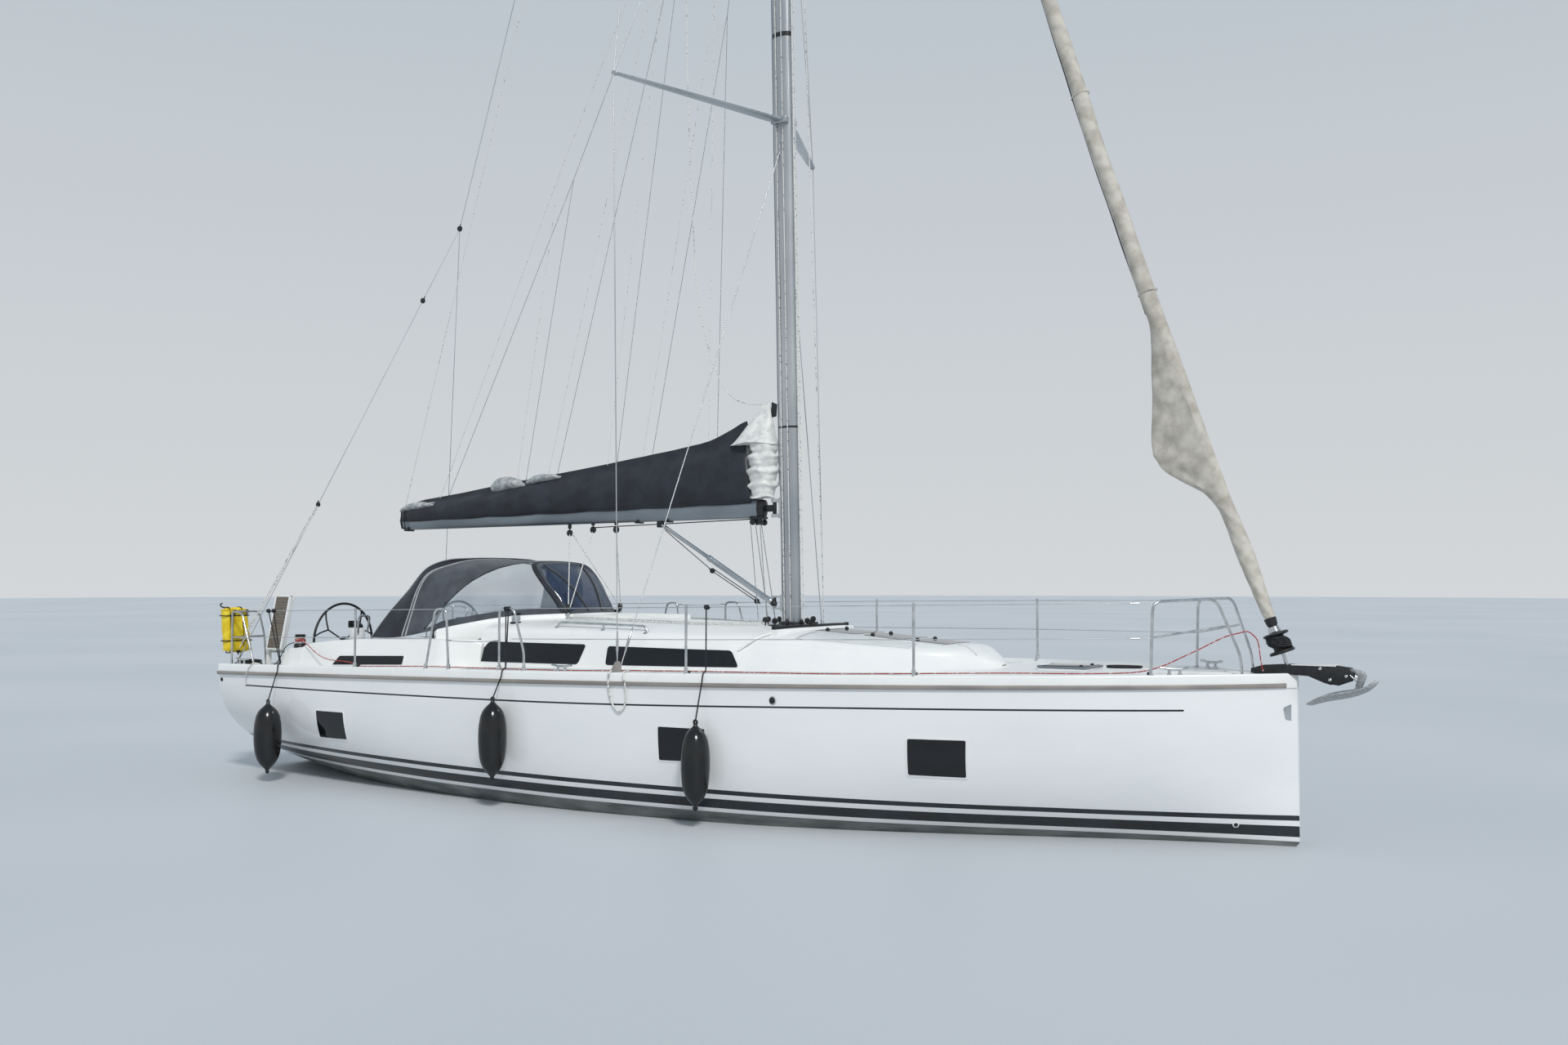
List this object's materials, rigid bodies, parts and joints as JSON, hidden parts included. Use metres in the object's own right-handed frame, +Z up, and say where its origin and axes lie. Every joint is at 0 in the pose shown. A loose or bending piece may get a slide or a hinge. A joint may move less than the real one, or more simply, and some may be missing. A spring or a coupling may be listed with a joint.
{
  "type": "sailing yacht",
  "caption": "Cruising sailing yacht afloat: decked hull with fin keel and spade rudder, coachroof, twin wheels, sprayhood, mast with furled jib and mainsail stowed on the boom.",
  "frame": {"origin": "on the waterline amidships, on the centreline", "axes": "+X to the bow, +Y to port, +Z up"},
  "size_m": [12.66, 4.4861, 21.922],
  "materials": {
    "gelcoat": "gloss",
    "iron": "matte paint",
    "antifouling": "matte",
    "bronze": "satin",
    "acrylic": "gloss",
    "spar": "satin",
    "steel": "polished",
    "jib_cover": "matte",
    "black_fitting": "satin",
    "sail_cover": "matte",
    "teak": "weathered",
    "canvas": "matte",
    "galvanised": "matte",
    "fender_cover": "satin",
    "rescue_yellow": "satin"
  },
  "bodies": {
    "yacht": {"hull": "gelcoat", "deck": "gelcoat", "keel": "iron", "drive_leg": "antifouling", "window_saloon_aft_starboard": "acrylic", "window_saloon_aft_port": "acrylic", "window_saloon_forward_starboard": "acrylic", "window_saloon_forward_port": "acrylic", "mast": "spar", "spreader_lower_starboard": "spar", "spreader_lower_port": "spar", "spreader_upper_starboard": "spar", "spreader_upper_port": "spar", "shrouds_starboard": "steel", "shrouds_port": "steel", "backstay": "steel", "jib_furled": "jib_cover", "furler_drum": "black_fitting", "guardrail_starboard": "steel", "guardrail_port": "steel", "pulpit_starboard": "steel", "pulpit_port": "steel", "pushpit_starboard": "steel", "pushpit_port": "steel", "pedestal_starboard": "gelcoat", "pedestal_port": "gelcoat", "cockpit_table": "teak", "sprayhood": "canvas", "washboard": "acrylic", "bow_roller": "black_fitting", "anchor": "galvanised", "winch_roof_starboard": "steel", "winch_roof_port": "steel", "winch_coaming_starboard": "steel", "winch_coaming_port": "steel", "fender_aft": "fender_cover", "fender_mid": "fender_cover", "fender_forward": "fender_cover", "rescue_bag": "rescue_yellow"},
    "rudder": {"rudder": "antifouling"},
    "propeller": {"propeller": "bronze"},
    "boom": {"boom": "spar", "mainsail_stowed": "sail_cover", "vang": "spar"},
    "wheel_starboard": {"wheel_starboard": "black_fitting"},
    "wheel_port": {"wheel_port": "black_fitting"},
    "bathing_platform": {"bathing_platform": "gelcoat"},
    "helm_seat_starboard": {"helm_seat_starboard": "teak"},
    "helm_seat_port": {"helm_seat_port": "teak"},
    "companion_slide": {"companion_slide": "acrylic"},
    "deck_hatch_forward": {"deck_hatch_forward": "acrylic"},
    "anchor_locker_lid": {"anchor_locker_lid": "gelcoat"}
  },
  "joints": [
    {"name": "boom_swing", "type": "hinge", "parent": "yacht", "child": "boom", "pos_m": [0.655, 0, 3.06], "axis": [0, 0, 1], "range_deg": [-64, 64]},
    {"name": "rudder_turn", "type": "hinge", "parent": "yacht", "child": "rudder", "pos_m": [-5.08, 0, -0.34], "axis": [0, 0, 1], "range_deg": [-35, 35]},
    {"name": "wheel_starboard_turn", "type": "hinge", "parent": "yacht", "child": "wheel_starboard", "pos_m": [-4.89, -0.96, 1.56], "axis": [1, 0, 0], "range_deg": [-280, 280]},
    {"name": "wheel_port_turn", "type": "hinge", "parent": "yacht", "child": "wheel_port", "pos_m": [-4.89, 0.96, 1.56], "axis": [1, 0, 0], "range_deg": [-280, 280]},
    {"name": "propeller_spin", "type": "hinge", "parent": "yacht", "child": "propeller", "pos_m": [-2.896, 0, -0.86], "axis": [-1, 0, 0], "continuous": true},
    {"name": "platform_fold", "type": "hinge", "parent": "yacht", "child": "bathing_platform", "pos_m": [-5.972, 0, 0.47], "axis": [0, -1, 0], "range_deg": [0, 90]},
    {"name": "seat_starboard_fold", "type": "hinge", "parent": "yacht", "child": "helm_seat_starboard", "pos_m": [-5.439, -1.465, 1.43], "axis": [-1, 0, 0], "range_deg": [0, 78]},
    {"name": "seat_port_fold", "type": "hinge", "parent": "yacht", "child": "helm_seat_port", "pos_m": [-5.439, 1.465, 1.43], "axis": [-1, 0, 0], "range_deg": [0, 78]},
    {"name": "companion_slide", "type": "slide", "parent": "yacht", "child": "companion_slide", "axis": [1, 0, 0], "range_m": [0, 0.6]},
    {"name": "deck_hatch_lift", "type": "hinge", "parent": "yacht", "child": "deck_hatch_forward", "pos_m": [3.692, 0, 1.4965], "axis": [0, -1, 0], "range_deg": [0, 90]},
    {"name": "anchor_locker_lift", "type": "hinge", "parent": "yacht", "child": "anchor_locker_lid", "pos_m": [4.88, 0, 1.4859], "axis": [0, -1, 0], "range_deg": [0, 90]}
  ],
  "couplings": [
    {"joint": "wheel_starboard_turn", "follows": "rudder_turn", "ratio": 8},
    {"joint": "wheel_port_turn", "follows": "rudder_turn", "ratio": 8}
  ]
}
